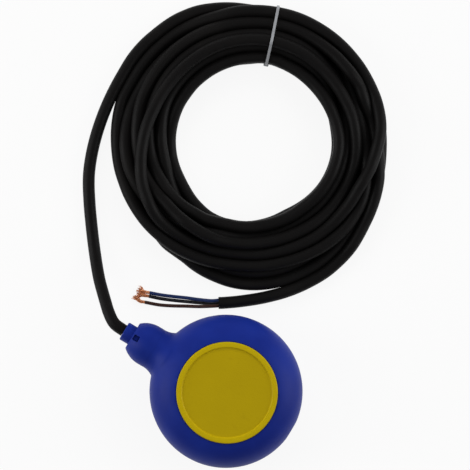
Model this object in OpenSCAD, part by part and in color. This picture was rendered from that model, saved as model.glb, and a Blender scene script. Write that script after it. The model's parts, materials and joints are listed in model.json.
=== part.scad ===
// Cable float switch: a round float with a ball-operated switch inside, on a coiled cable.
// The float lies flat on its lower cap, its centre at the origin and its neck along -X.

/* [Float body] */
// Diameter of the float disc
disc_d = 100; // [98:0.5:104]
// Height of the float from one cap rim to the other
disc_h = 48; // [47:0.5:52]
// Distance that the shells lie back from the cap rims
shell_set_back = 0.4; // [0.2:0.1:0.8]
// Height of the straight band round the parting line
band_h = 3.2; // [2.6:0.1:4]
// Wall of the two shells
shell_wall = 2.5; // [2.2:0.1:2.8]
// Floor of the shells under the caps
shell_floor = 2.6; // [2.2:0.1:3]
// Width of the flat that is cut in the rim opposite the neck
flat_w = 14.4; // [10:0.2:18]
// Depth of that flat
flat_depth = 0.6; // [0.3:0.1:0.9]

/* [Caps] */
// Diameter of the caps
cap_d = 65.8; // [64:0.2:68]
// Thickness of a cap at its rim
cap_h = 3.2; // [2.8:0.1:3.6]
// Width of the raised rim
cap_rim_w = 3.6; // [3:0.1:5]
// Depth of the sunk middle
cap_sink = 0.9; // [0.6:0.1:1.2]
// Gap round a cap in its pocket
cap_gap = 0.3; // [0.2:0.05:0.5]
// Radius of the snap ring under a cap
snap_r = 25; // [20:0.5:28]
// Width of the snap ring
snap_w = 1.6; // [1.2:0.1:2]
// Height of the snap ring
snap_h = 1.2; // [0.8:0.1:1.4]

/* [Neck] */
// Distance of the neck's face from the disc's centre
neck_len = 71; // [70:0.5:74]
// Half-width of the neck's dome
neck_dome_r = 14; // [13.8:0.1:14.6]
// Radius of the dome's curve
dome_curve_r = 17.5; // [16.5:0.1:18.5]
// Distance from the neck's face back to the widest place of the dome
dome_back = 12; // [11:0.1:12.5]
// Radius of the hollow curve between the dome and the disc
cove_r = 14.2; // [13:0.1:15]
// Half-width of the neck where it runs into the disc
neck_root_r = 17.5; // [17:0.1:18.5]
// Side of the square snap windows
window_w = 3.8; // [3.4:0.1:4.2]
// Distance from the neck's face to the middle of the windows
window_back = 2.6; // [2.4:0.1:3]
// Diameter of the collar's head
collar_d = 12.8; // [12:0.1:13.6]
// Length of the collar's head
collar_len = 6.4; // [5:0.1:8]
// Radius of the mouth that holds the collar
mouth_r = 7.5; // [7.2:0.1:7.8]
// Radius of the chamber that holds the seal
seal_chamber_r = 9; // [8.8:0.1:9.4]
// Length of the seal
seal_len = 6; // [5:0.1:7]
// Thickness of the collar's inner flange
flange_t = 3; // [2.5:0.1:3.5]

/* [Cable] */
// Diameter of the cable
cable_d = 8; // [7.6:0.1:8.4]
// Diameter of the insulated cores
core_d = 2.3; // [2:0.1:2.6]
// Diameter of the bare copper strands of a core
strand_d = 1.5; // [1.2:0.1:1.8]
// Outer radius of the tied coil
coil_r = 92; // [90:0.5:93]
// Inner radius of the tied coil
coil_hole_r = 51.5; // [48:0.5:55]
// Height of the tied coil
coil_h = 24; // [18:0.5:27]
// Radius of the coil's rounded corners
coil_corner_r = 7; // [4:0.5:7.5]
// Width of the tie round the coil
tie_w = 2.4; // [2:0.1:5]
// Thickness of the tie
tie_t = 1.1; // [0.8:0.1:1.4]

/* [Switch box] */
// Room between the switch box and the shells' wall
box_room = 7.5; // [7.4:0.1:8.2]
// Wall of the switch box
box_wall = 3.2; // [3:0.1:3.5]
// Floor of the switch box
box_floor = 1.8; // [1.5:0.1:2.2]
// Depth of the box below the cable's axis
box_below = 14; // [13.8:0.1:14.2]
// Height of the box above the cable's axis
box_above = 10; // [9.6:0.1:10.4]
// Thickness of the box's lid
lid_t = 2; // [1.6:0.1:2.2]
// Width of the gasket
gasket_w = 1.2; // [1:0.1:1.4]
// Depth of the gasket's groove
gasket_h = 1.2; // [0.8:0.1:1.4]
// Radius of the lugs that take the lid screws
lug_r = 2.6; // [2.4:0.1:2.7]
// Radius of the posts that carry the box
post_r = 3; // [2.5:0.1:3.5]
// Distance of the posts from the disc's centre
post_place_r = 29; // [27:0.5:31]

/* [Ball and switch] */
// Diameter of the steel ball
ball_d = 14; // [13.6:0.1:14.2]
// Wall of the ball's track
track_wall = 1.6; // [1.4:0.1:1.8]
// Distance of the track from the disc's centre line
track_y = -5; // [-5.5:0.1:-4.5]
// Height of the snap-action switch over its terminals
switch_h = 15.9; // [15.6:0.1:16.1]
// Length of the snap-action switch
switch_len = 27.8; // [27.4:0.1:28.2]
// Thickness of the snap-action switch
switch_t = 10.3; // [10:0.1:10.8]
// Distance of the switch's back from the disc's centre
switch_back = 13; // [12.6:0.1:13.4]
// Distance of the switch's middle from the disc's centre line
switch_y = 2; // [1.8:0.1:2.2]
// Wall of the switch's case
switch_wall = 1.2; // [1:0.1:1.4]
// Thickness of the switch's cover
cover_t = 1.8; // [1.5:0.1:2.1]
// Radius of the switch's fixing holes
fix_hole_r = 1.6; // [1.55:0.05:1.7]
// Length of the lever from its pin
lever_len = 21; // [20:0.5:22]
// Width of the lever
lever_w = 4.8; // [4.4:0.1:5.2]
// Thickness of the lever's sheet
lever_t = 0.4; // [0.3:0.05:0.5]
// Angle that the free lever stands off the switch
lever_free_deg = 8.5; // [8.5:0.1:9]
// Distance from the lever's pin to the plunger
plunger_arm = 6.5; // [6.3:0.1:6.7]
// Distance from the lever's pin to the hump that the ball meets
hump_arm = 17.5; // [17:0.1:18]
// Width of the terminal tabs
tab_w = 4.8; // [4.4:0.1:5.2]
// Thickness of the terminal tabs
tab_t = 0.8; // [0.6:0.05:0.9]
// Spacing of the terminals
tab_pitch = 8.2; // [8:0.1:8.4]
// Distance that the tabs stand out of the switch
tab_len = 6.4; // [6:0.1:6.8]

/* [Fits] */
// Clearance of parts that slide on each other
slide_gap = 0.05; // [0.03:0.01:0.08]
// Clearance of parts that are laid into each other
seat_gap = 0.1; // [0.06:0.01:0.15]
// Clearance round the ball in its track
ball_gap = 0.25; // [0.2:0.01:0.35]
// Gap between the ball and the free lever when they meet
touch_gap = 0.05; // [0.04:0.01:0.1]

/* [Hidden] */
$fn = 72;
small_fn = 32;
tiny = 0.01;
big = 200;

// Heights: the lower cap's rim stands on z = 0 and the shells part at mid_z.
mid_z = disc_h / 2;
disc_r = disc_d / 2;
edge_r = mid_z - band_h / 2 - shell_set_back;
edge_x = disc_r - edge_r;
inner_edge_r = edge_r - shell_wall;
cap_r = cap_d / 2;
pocket_r = cap_r + cap_gap;
ceiling_z = disc_h - cap_h - shell_floor;
floor_z = disc_h - ceiling_z;
snap_groove_gap = seat_gap;
seam_h = 1;
seam_w = 0.9;
seam_r = disc_r - shell_wall / 2;

// Neck, measured outwards from the disc's centre.
dome_u = neck_len - dome_back;
cove_u = dome_u - 4;
cove_r_axis = neck_dome_r - 0.1 + cove_r;
neck_overlap = 8;
neck_inner_u = edge_x + neck_overlap;
neck_void_r = neck_dome_r - 2.6;
mouth_depth = 5;
flange_u = neck_len - mouth_depth;
seal_u = flange_u - flange_t - seal_len;
partition_t = 2.5;
partition_u = seal_u - partition_t;
cable_r = cable_d / 2;
collar_r = collar_d / 2;
mouth_end = neck_len + collar_len;
snap_lug_w = window_w - 0.4;
snap_lug_r = seal_chamber_r - 0.2;

// Switch box.
box_r = disc_r - shell_wall - box_room;
box_in_r = box_r - box_wall;
box_z0 = mid_z - box_below;
box_z1 = mid_z + box_above;
box_floor_z = box_z0 + box_floor;
lid_z1 = box_z1 + lid_t;
gasket_mid_r = (box_r + box_in_r) / 2;
lug_place_r = box_r + 1;
lug_drop = 6;
lid_screw_r = 1.1;
lid_screw_len = 6;
lid_head_r = 2;
lid_head_h = 1.4;
rib_t = 2;
quarter_angles = [45, 135, 225, 315];

// Cord grip inside the box.
grip_x0 = -(box_in_r - 2.8);
grip_len = 3.4;
grip_x1 = grip_x0 + grip_len;
sheath_end_x = grip_x1 + 0.6;
grip_half_y = 10;
grip_hump_r = cable_r + 2.2;
grip_t = 2.4;
grip_screw_r = 1;
grip_head_r = 1.7;
grip_head_h = 1.2;
grip_screw_y = grip_half_y - grip_head_r - 0.4;
grip_screw_len = 8;

// Grommet in the box's wall.
grommet_r = cable_r + 1.5;
grommet_flange_r = cable_r + 3;
grommet_flange_t = 1.4;

// Snap-action switch: its back faces the neck and its plunger faces the ball.
sw_x0 = -switch_back;
sw_x1 = sw_x0 + switch_h;
sw_y0 = switch_y - switch_len / 2;
sw_y1 = switch_y + switch_len / 2;
sw_z0 = mid_z - switch_t / 2;
sw_z1 = mid_z + switch_t / 2;
case_z1 = sw_z1 - cover_t;
fix_pitch_y = 22.2;
fix_low_back = 2.8;
fix_high_back = 13.1;
fix_low = [sw_x0 + fix_low_back, switch_y - fix_pitch_y / 2];
fix_high = [sw_x0 + fix_high_back, switch_y + fix_pitch_y / 2];
fix_screw_r = 1.5;
fix_head_r = 2.6;
fix_head_h = 1.8;
pin_r = 0.5;
pin_x = sw_x1 + 1.3;
pin_y = sw_y1 - 3.4;
pin_half = lever_w / 2 + 0.3;
hinge_r = 1;
hinge_half = 1.5;
cheek_t = 0.7;
cheek_in = lever_w / 2 - cheek_t;
lever_in = 0.6;
lever_out = lever_in + lever_t;
hump_r = 1.6;

// The free lever's hump and the place where the ball just meets it.
hump_x = pin_x + hump_arm * sin(lever_free_deg) + lever_in * cos(lever_free_deg);
hump_y = pin_y - hump_arm * cos(lever_free_deg) + lever_in * sin(lever_free_deg);
ball_r = ball_d / 2;
ball_meet = hump_r + ball_r + touch_gap;
ball_touch_x = hump_x + sqrt(pow(ball_meet, 2) - pow(track_y - hump_y, 2));
ball_limit_r = box_in_r - ball_r - ball_gap;
ball_rest_x = sqrt(pow(ball_limit_r, 2) - pow(track_y, 2));
track_in = ball_r + ball_gap;
track_out = track_in + track_wall;
track_x0 = ball_touch_x - ball_r + 0.5;
track_z0 = mid_z - track_out;
track_z1 = mid_z + track_out;
slot_start = 5;
slot_end = 3;
slot_half_w = 2;

// Plunger: its round tip stays a touch_gap from the free lever.
plunger_r = 1.2;
plunger_y = pin_y - plunger_arm;
plunger_line_v = (plunger_arm + lever_in * sin(lever_free_deg)) / cos(lever_free_deg);
plunger_line_x = pin_x + plunger_line_v * sin(lever_free_deg) + lever_in * cos(lever_free_deg);
plunger_tip_x = plunger_line_x - (plunger_r + touch_gap) / cos(lever_free_deg);
plunger_travel = 0.91;
blade_back = 7.4;
blade_x = sw_x1 - blade_back;
blade_t = 0.3;
plunger_foot_x = blade_x + blade_t + plunger_travel + 0.15;
plunger_collar_r = 2;
plunger_collar_t = 1;

// Terminals.
tab_y_common = switch_y - tab_pitch;
tab_y_closed = switch_y;
tab_y_open = switch_y + tab_pitch;
tab_end_x = sw_x0 - tab_len;
tab_slot_len = 6.5;
tag_x1 = sw_x0 - 1.2;
tag_x0 = tab_end_x - 0.6;
tag_half_y = 1.3;
tag_half_z = tab_w / 2 + 0.8;
barrel_r = core_d / 2 + 0.45;
barrel_len = 4;
barrel_x0 = tag_x0 - barrel_len;
rivet_r = 1.4;
rivet_y = switch_y + 0.3 * switch_len;

// Inside the cable the three cores lie round its axis.
core_r = core_d / 2;
core_ring_r = 2.1;
wire_stub = 0.4;
strand_r = strand_d / 2;

// The coil lies beside the float, on the same surface.
coil_x = -68;
coil_y = 145;
tie_angle = 109;

// Route of the cable from the neck down to the surface and along the outside of the coil.
lead_route = [
    [-77.4, 0, 24], [-83, 0, 24], [-90, 3, 22.6], [-96, 8.5, 19.4], [-102, 15, 15], [-108, 21.5, 11],
    [-114.5, 29, 7.4], [-121.5, 37.5, 5], [-130, 48, 4], [-140, 61.5, 4], [-149, 76, 4], [-156, 92, 4],
    [-160.5, 109, 4], [-163.2, 127, 4], [-164, 146, 4], [-162.6, 165, 4], [-157.5, 182.5, 4],
    [-146.5, 198.5, 4], [-131, 210, 4]
];

// Route of the free end, from the coil round to where the sheath is cut off.
tail_route = [
    [23.4, 128, 7], [22, 116, 5], [16.5, 99, 4], [5, 80.5, 4], [-9, 65.5, 4], [-24.5, 52.8, 4], [-33, 47, 4]
];

// Routes of the three cores from the cut sheath, and of the copper strands beyond them.
blue_route = [
    [-34, 48.5, 5], [-38.1, 45.7, 5], [-45.5, 42.2, 3.4], [-53, 39.2, 1.8], [-61, 35.8, 1.2],
    [-68.5, 32.7, 1.2], [-75.7, 30.1, 1.2]
];
black_route = [
    [-33, 47, 2.2], [-37.1, 44.2, 2.2], [-44, 40.6, 1.6], [-51.6, 36.9, 1.2], [-59.5, 33.2, 1.2],
    [-67, 29.9, 1.2], [-74.6, 27.2, 1.2]
];
brown_route = [
    [-32, 45.5, 5], [-36.1, 42.7, 5], [-43, 38.3, 3.2], [-50.4, 34.2, 1.6], [-58, 29.9, 1.2],
    [-66, 25.9, 1.2], [-75, 22.6, 1.2]
];
blue_strand_route = [[-75.7, 30.1, 1.2], [-79.5, 28.7, 1.2], [-84, 28.4, 0.8]];
black_strand_route = [[-74.6, 27.2, 1.2], [-77.4, 26.2, 1.2], [-80.2, 25.3, 0.8]];
brown_strand_route = [[-75, 22.6, 1.2], [-78, 21.5, 1.2], [-82.6, 22.6, 0.8]];

// Sweep of a round tube along a route: one ring a point, square to the route there.
function unit(v) = v / norm(v);
function tangent(route, i) =
    unit(route[min(i + 1, len(route) - 1)] - route[max(i - 1, 0)]);
function side_of(t) = unit(cross(t, [0, 0, 1]));
function ring(route, i, r, sides) =
    let (t = tangent(route, i), s = side_of(t), u = cross(s, t))
    [for (k = [0 : sides - 1]) route[i] + r * (cos(360 * k / sides) * s + sin(360 * k / sides) * u)];
function side_faces(rings, sides) = [
    for (i = [0 : rings - 2], k = [0 : sides - 1])
        let (n = (k + 1) % sides)
        each [
            [i * sides + k, i * sides + n, (i + 1) * sides + n],
            [i * sides + k, (i + 1) * sides + n, (i + 1) * sides + k]
        ]
];
function bezier(p, t) =
    pow(1 - t, 3) * p[0] + 3 * t * pow(1 - t, 2) * p[1] + 3 * t * t * (1 - t) * p[2] + pow(t, 3) * p[3];

module tube(route, r, sides) {
    rings = len(route);
    polyhedron(
        points = [for (i = [0 : rings - 1]) each ring(route, i, r, sides)],
        faces = concat(
            [[for (k = [sides - 1 : -1 : 0]) k]],
            side_faces(rings, sides),
            [[for (k = [0 : sides - 1]) (rings - 1) * sides + k]]
        )
    );
}

module rounded_rect(x0, y0, x1, y1, r) {
    translate([x0 + r, y0]) square([x1 - x0 - 2 * r, y1 - y0]);
    translate([x0, y0 + r]) square([x1 - x0, y1 - y0 - 2 * r]);
    for (x = [x0 + r, x1 - r], y = [y0 + r, y1 - r]) translate([x, y]) circle(r);
}

// A shape that is turned round the cable's axis: local z runs outwards along the neck.
module along_neck() {
    translate([0, 0, mid_z]) rotate([0, -90, 0]) children();
}

module bar_x(x0, x1, y, z, r) {
    translate([x0, y, z]) rotate([0, 90, 0]) cylinder(r = r, h = x1 - x0);
}

module block(x0, y0, z0, x1, y1, z1) {
    translate([x0, y0, z0]) cube([x1 - x0, y1 - y0, z1 - z0]);
}

module at_quarters(r) {
    for (a = quarter_angles) rotate(a) translate([r, 0, 0]) children();
}

module pan_screw(shank_r, shank_len, head_r, head_h) {
    difference() {
        union() {
            translate([0, 0, -shank_len]) cylinder(r = shank_r, h = shank_len + tiny, $fn = small_fn);
            cylinder(r = head_r, h = head_h, $fn = small_fn);
        }
        translate([0, 0, head_h / 2]) {
            translate([-head_r * 0.6, -0.25, 0]) cube([head_r * 1.2, 0.5, head_h]);
            translate([-0.25, -head_r * 0.6, 0]) cube([0.5, head_r * 1.2, head_h]);
        }
    }
}

// Half section of the disc: a band and two quarter rounds, which the flat faces join.
module disc_half_section(r, edge) {
    intersection() {
        union() {
            translate([edge_x, mid_z + band_h / 2]) circle(edge);
            translate([0, mid_z]) square([edge_x, band_h / 2 + edge]);
            translate([0, mid_z]) square([r, band_h / 2]);
        }
        translate([0, mid_z]) square([r, big]);
    }
}

// Section of the neck: a dome at the mouth and a hollow curve towards the disc.
module neck_section() {
    intersection() {
        translate([neck_dome_r - dome_curve_r, dome_u]) circle(dome_curve_r);
        translate([0, dome_u]) square([neck_dome_r, dome_back]);
    }
    translate([0, cove_u]) square([neck_dome_r, dome_u - cove_u]);
    difference() {
        translate([0, neck_inner_u]) square([neck_root_r, cove_u - neck_inner_u]);
        translate([cove_r_axis, cove_u]) circle(cove_r);
    }
}

module upper_half_space() {
    translate([-big, -big, mid_z]) cube([2 * big, 2 * big, big]);
}

module shell_body() {
    rotate_extrude() disc_half_section(disc_r, edge_r);
    intersection() {
        along_neck() rotate_extrude() neck_section();
        upper_half_space();
    }
}

// Room inside the disc: its wall follows the outside, and its ceiling lies under the cap's floor.
module shell_hollow() {
    rotate_extrude() intersection() {
        disc_half_section(disc_r - shell_wall, inner_edge_r);
        translate([0, mid_z]) square([disc_r, ceiling_z - mid_z]);
    }
}

module shell_bore() {
    along_neck() {
        translate([0, 0, neck_inner_u - 4]) cylinder(r = neck_void_r, h = partition_u - neck_inner_u + 4);
        translate([0, 0, neck_inner_u]) cylinder(r = cable_r + seat_gap, h = neck_len - neck_inner_u);
        translate([0, 0, seal_u]) cylinder(r = seal_chamber_r, h = flange_u - seal_u);
        translate([0, 0, flange_u - tiny]) cylinder(r = mouth_r, h = neck_len);
    }
}

module cap_pocket() {
    translate([0, 0, disc_h - cap_h]) cylinder(r = pocket_r, h = cap_h);
    translate([0, 0, disc_h - cap_h - snap_h - snap_groove_gap]) difference() {
        cylinder(r = snap_r + snap_w + snap_groove_gap, h = snap_h + snap_groove_gap + tiny);
        translate([0, 0, -1]) cylinder(r = snap_r - snap_groove_gap, h = snap_h + 3);
    }
}

module seam_ring(w, h) {
    difference() {
        translate([0, 0, mid_z]) difference() {
            cylinder(r = seam_r + w / 2, h = h);
            translate([0, 0, -1]) cylinder(r = seam_r - w / 2, h = h + 2);
        }
        block(-big, -neck_root_r - 2, 0, -edge_x, neck_root_r + 2, big);
        block(disc_r - 4, -flat_w, 0, big, flat_w, big);
    }
}

// Upper shell as it is moulded, without the joint along its edge.
module shell_half() {
    difference() {
        shell_body();
        shell_hollow();
        shell_bore();
        cap_pocket();
        block(disc_r - flat_depth, -flat_w / 2, 0, big, flat_w / 2, big);
        translate([-neck_len + window_back, 0, mid_z + mouth_r / 2])
            translate([-window_w / 2, -window_w / 2, 0]) cube([window_w, window_w, big]);
    }
}

module shell_upper() color("navy") difference() {
    union() {
        shell_half();
        at_quarters(post_place_r)
            translate([0, 0, lid_z1]) cylinder(r = post_r, h = ceiling_z - lid_z1 + tiny);
    }
    seam_ring(seam_w + 2 * seat_gap, seam_h + seat_gap);
}

module shell_lower() color("navy") {
    translate([0, 0, disc_h]) mirror([0, 0, 1]) shell_half();
    at_quarters(post_place_r)
        translate([0, 0, floor_z - tiny]) cylinder(r = post_r, h = box_z0 - floor_z + tiny);
    translate([0, 0, -tiny]) seam_ring(seam_w, seam_h + tiny);
}

module cap_solid() {
    chamfer = 0.5;
    rotate_extrude() difference() {
        polygon([
            [0, disc_h - cap_h], [snap_r, disc_h - cap_h], [snap_r, disc_h - cap_h - snap_h],
            [snap_r + snap_w, disc_h - cap_h - snap_h], [snap_r + snap_w, disc_h - cap_h],
            [cap_r, disc_h - cap_h], [cap_r, disc_h - chamfer], [cap_r - chamfer, disc_h],
            [cap_r - cap_rim_w + chamfer, disc_h], [cap_r - cap_rim_w, disc_h - chamfer],
            [cap_r - cap_rim_w, disc_h - cap_sink], [0, disc_h - cap_sink]
        ]);
    }
}

module cap_upper() color("gold") cap_solid();

module cap_lower() color("gold") translate([0, 0, disc_h]) mirror([0, 0, 1]) cap_solid();

module gland_collar() color("mediumblue") {
    chamfer = 0.6;
    difference() {
        union() {
            along_neck() rotate_extrude() polygon([
                [cable_r + slide_gap, flange_u - flange_t + seat_gap],
                [seal_chamber_r - seat_gap, flange_u - flange_t + seat_gap],
                [seal_chamber_r - seat_gap, flange_u - seat_gap], [mouth_r - seat_gap, flange_u - seat_gap],
                [mouth_r - seat_gap, neck_len], [collar_r, neck_len],
                [collar_r, mouth_end - chamfer], [collar_r - chamfer, mouth_end],
                [cable_r + slide_gap, mouth_end]
            ]);
            for (s = [-1, 1])
                translate([-neck_len + window_back, 0, mid_z + s * snap_lug_r / 2])
                    cube([snap_lug_w, snap_lug_w, snap_lug_r], center = true);
        }
        along_neck() translate([0, 0, seal_u]) cylinder(r = cable_r + slide_gap, h = neck_len);
    }
}

module gland_seal() color("dimgray") along_neck() translate([0, 0, seal_u + slide_gap]) difference() {
    cylinder(r = seal_chamber_r - slide_gap, h = seal_len);
    translate([0, 0, -1]) cylinder(r = cable_r + slide_gap, h = seal_len + 2);
    for (z = [seal_len / 3, 2 * seal_len / 3]) translate([0, 0, z - 0.4]) difference() {
        cylinder(r = seal_chamber_r + 1, h = 0.8);
        translate([0, 0, -1]) cylinder(r = seal_chamber_r - 0.7, h = 3);
    }
}

module cable_root() color("black") bar_x(-mouth_end, sheath_end_x, 0, mid_z, cable_r);

// The tub that holds the switch and the ball, with its posts, ribs and cable saddle.
module switch_box() color("gainsboro") {
    difference() {
        union() {
            difference() {
                union() {
                    translate([0, 0, box_z0]) cylinder(r = box_r, h = box_z1 - box_z0);
                    at_quarters(lug_place_r)
                        translate([0, 0, box_z1 - lug_drop]) cylinder(r = lug_r, h = lug_drop);
                }
                translate([0, 0, box_floor_z]) cylinder(r = box_in_r, h = big);
                bar_x(-big, 0, 0, mid_z, grommet_r + slide_gap);
            }
            block(grip_x0, -grip_half_y, box_floor_z - tiny, grip_x1, grip_half_y, mid_z);
            for (p = [fix_low, fix_high])
                translate([p[0], p[1], box_floor_z - tiny])
                    cylinder(r = fix_head_r, h = sw_z0 - box_floor_z + tiny);
            for (x = [track_x0 + 2, ball_rest_x - 1])
                block(x, track_y - track_in, box_floor_z - tiny, x + rib_t, track_y + track_in, track_z0);
        }
        bar_x(grip_x0 - 1, 0, 0, mid_z, cable_r + slide_gap);
        at_quarters(lug_place_r)
            translate([0, 0, box_z1 - lug_drop - 1]) cylinder(r = lid_screw_r, h = big, $fn = small_fn);
        for (s = [-1, 1])
            translate([(grip_x0 + grip_x1) / 2, s * grip_screw_y, mid_z - grip_screw_len])
                cylinder(r = grip_screw_r, h = big, $fn = small_fn);
        for (p = [fix_low, fix_high])
            translate([p[0], p[1], box_floor_z + 1]) cylinder(r = fix_screw_r, h = big, $fn = small_fn);
        translate([0, 0, box_z1 - gasket_h]) difference() {
            cylinder(r = gasket_mid_r + gasket_w / 2 + seat_gap, h = gasket_h + 1);
            translate([0, 0, -1]) cylinder(r = gasket_mid_r - gasket_w / 2 - seat_gap, h = gasket_h + 3);
        }
    }
}

module box_gasket() color("dimgray") translate([0, 0, box_z1 - gasket_h]) difference() {
    cylinder(r = gasket_mid_r + gasket_w / 2, h = gasket_h);
    translate([0, 0, -1]) cylinder(r = gasket_mid_r - gasket_w / 2, h = gasket_h + 2);
}

// The lid has two pads that hold the ball's track down.
module box_lid() color("silver") difference() {
    union() {
        translate([0, 0, box_z1]) cylinder(r = box_r, h = lid_t);
        at_quarters(lug_place_r) translate([0, 0, box_z1]) cylinder(r = lug_r, h = lid_t);
        for (s = [-1, 1])
            block(track_x0 + 2, track_y + s * (track_in + track_wall / 2) - track_wall / 2, track_z1,
                  ball_rest_x, track_y + s * (track_in + track_wall / 2) + track_wall / 2, box_z1 + tiny);
    }
    at_quarters(lug_place_r)
        translate([0, 0, box_z1 - 1]) cylinder(r = lid_screw_r + seat_gap, h = lid_t + 2, $fn = small_fn);
}

module lid_screws() color("silver") at_quarters(lug_place_r) translate([0, 0, lid_z1])
    pan_screw(lid_screw_r - slide_gap, lid_screw_len, lid_head_r, lid_head_h);

module box_grommet() color("dimgray") difference() {
    union() {
        bar_x(-box_r - grommet_flange_t, -box_in_r + grommet_flange_t, 0, mid_z, grommet_r);
        bar_x(-box_r - grommet_flange_t, -box_r, 0, mid_z, grommet_flange_r);
        bar_x(-box_in_r + 0.8, -box_in_r + grommet_flange_t, 0, mid_z, grommet_flange_r);
    }
    bar_x(-big, 0, 0, mid_z, cable_r + slide_gap);
}

module cord_grip() color("ivory") difference() {
    union() {
        block(grip_x0, -grip_half_y, mid_z, grip_x1, grip_half_y, mid_z + grip_t);
        bar_x(grip_x0, grip_x1, 0, mid_z, grip_hump_r);
    }
    block(grip_x0 - 1, -big, 0, grip_x1 + 1, big, mid_z);
    bar_x(grip_x0 - 1, grip_x1 + 1, 0, mid_z, cable_r + slide_gap);
    for (s = [-1, 1])
        translate([(grip_x0 + grip_x1) / 2, s * grip_screw_y, mid_z - 1])
            cylinder(r = grip_screw_r + seat_gap, h = big, $fn = small_fn);
}

module grip_screws() color("silver") for (s = [-1, 1])
    translate([(grip_x0 + grip_x1) / 2, s * grip_screw_y, mid_z + grip_t])
        pan_screw(grip_screw_r - slide_gap, grip_screw_len, grip_head_r, grip_head_h);

module ball_track() color("ivory") intersection() {
    difference() {
        block(track_x0, track_y - track_out, track_z0, big, track_y + track_out, track_z1);
        block(0, track_y - track_in, mid_z - track_in, big, track_y + track_in, mid_z + track_in);
        block(track_x0 + slot_start, track_y - slot_half_w, mid_z,
            ball_rest_x - slot_end, track_y + slot_half_w, big);
    }
    cylinder(r = box_in_r - seat_gap, h = big);
}

module steel_ball() color("lightsteelblue") translate([ball_rest_x, track_y, mid_z]) sphere(ball_r);

module fix_holes(r) {
    for (p = [fix_low, fix_high]) translate([p[0], p[1], 0]) cylinder(r = r, h = big, $fn = small_fn);
}

module switch_case() color("dimgray") difference() {
    union() {
        difference() {
            block(sw_x0, sw_y0, sw_z0, sw_x1, sw_y1, case_z1);
            difference() {
                block(sw_x0 + switch_wall, sw_y0 + switch_wall, sw_z0 + switch_wall,
                      sw_x1 - switch_wall, sw_y1 - switch_wall, big);
                fix_holes(fix_hole_r + switch_wall);
            }
        }
        block(sw_x1 - tiny, pin_y - hinge_r, mid_z - hinge_half, pin_x, pin_y + hinge_r, mid_z + hinge_half);
        translate([pin_x, pin_y, mid_z - hinge_half])
            cylinder(r = hinge_r, h = 2 * hinge_half, $fn = small_fn);
    }
    fix_holes(fix_hole_r);
    translate([pin_x, pin_y, 0]) cylinder(r = pin_r + slide_gap, h = big, $fn = small_fn);
    bar_x(0, big, plunger_y, mid_z, plunger_r + slide_gap);
    for (y = [tab_y_common, tab_y_closed, tab_y_open])
        block(sw_x0 - 1, y - tab_t / 2 - slide_gap, mid_z - tab_w / 2 - slide_gap,
              sw_x0 + tab_slot_len, y + tab_t / 2 + slide_gap, case_z1 + 1);
}

module switch_cover() color("darkslategray") difference() {
    block(sw_x0, sw_y0, case_z1, sw_x1, sw_y1, sw_z1);
    fix_holes(fix_hole_r);
}

module switch_screws() color("silver") for (p = [fix_low, fix_high])
    translate([p[0], p[1], sw_z1])
        pan_screw(fix_screw_r - slide_gap, sw_z1 - box_floor_z - 1.5, fix_head_r, fix_head_h);

module switch_plunger() color("firebrick") {
    bar_x(plunger_foot_x, plunger_tip_x, plunger_y, mid_z, plunger_r);
    translate([plunger_tip_x, plunger_y, mid_z]) sphere(plunger_r, $fn = small_fn);
    bar_x(plunger_foot_x, plunger_foot_x + plunger_collar_t, plunger_y, mid_z, plunger_collar_r);
}

// The lever in its own frame: the pin at the origin, the sheet along -Y and outwards along +X.
module lever_flat() {
    difference() {
        union() {
            block(lever_in, -lever_len, -lever_w / 2, lever_out, -hinge_r - 0.4, lever_w / 2);
            for (z = [-lever_w / 2, cheek_in]) {
                block(-0.2, -4, z, lever_out, 0, z + cheek_t);
                translate([0, 0, z]) cylinder(r = hinge_r, h = cheek_t, $fn = small_fn);
            }
            intersection() {
                translate([lever_in, -hump_arm, -lever_w / 2]) cylinder(r = hump_r, h = lever_w);
                block(lever_in, -lever_len, -lever_w, big, 0, lever_w);
            }
        }
        translate([0, 0, -big / 2]) cylinder(r = pin_r + slide_gap, h = big, $fn = small_fn);
        translate([lever_in, -hump_arm, -lever_w]) cylinder(r = hump_r - lever_t, h = 2 * lever_w);
    }
}

module switch_lever() color("silver") translate([pin_x, pin_y, mid_z]) rotate(lever_free_deg) lever_flat();

module lever_pin() color("gray") translate([pin_x, pin_y, mid_z - pin_half])
    cylinder(r = pin_r, h = 2 * pin_half, $fn = small_fn);

// The sprung blade runs from the common terminal under the plunger to between the two contacts.
module contact_blade() color("goldenrod") {
    block(blade_x, tab_y_common + tab_t / 2, mid_z - 1.6, blade_x + blade_t, rivet_y + 2, mid_z + 1.6);
    bar_x(blade_x - 0.7, blade_x + blade_t + 0.7, rivet_y, mid_z, rivet_r);
}

module tab(y, inner_x) {
    difference() {
        block(tab_end_x, y - tab_t / 2, mid_z - tab_w / 2, inner_x, y + tab_t / 2, mid_z + tab_w / 2);
        translate([tab_end_x + 2.2, y - tab_t, mid_z])
            rotate([-90, 0, 0]) cylinder(r = 0.9, h = 2 * tab_t, $fn = small_fn);
    }
}

module terminal_common() color("gold") tab(tab_y_common, blade_x + blade_t + 0.6);

// Its inner end turns along the case to stand before the blade's rivet.
module terminal_closed() color("gold") {
    inner_x = sw_x0 + switch_wall + 1.6;
    arm_y = tab_y_closed + 2;
    arm_z0 = mid_z - tab_w / 2;
    arm_z1 = mid_z + tab_w / 4;
    tab(tab_y_closed, inner_x);
    block(inner_x - tab_t, tab_y_closed - tab_t / 2, arm_z0, inner_x, arm_y + 2 * tab_t, arm_z1);
    block(inner_x - tab_t, arm_y, arm_z0, blade_x - 1.2, arm_y + tab_t, arm_z1);
    bar_x(blade_x - 1.3, blade_x - 0.8, arm_y + tab_t / 2, mid_z, rivet_r / 2);
}

module terminal_open() color("gold") {
    tab(tab_y_open, blade_x - 1.4);
    bar_x(blade_x - 1.4 - tiny, blade_x - 0.9, rivet_y, mid_z, rivet_r);
}

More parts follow.
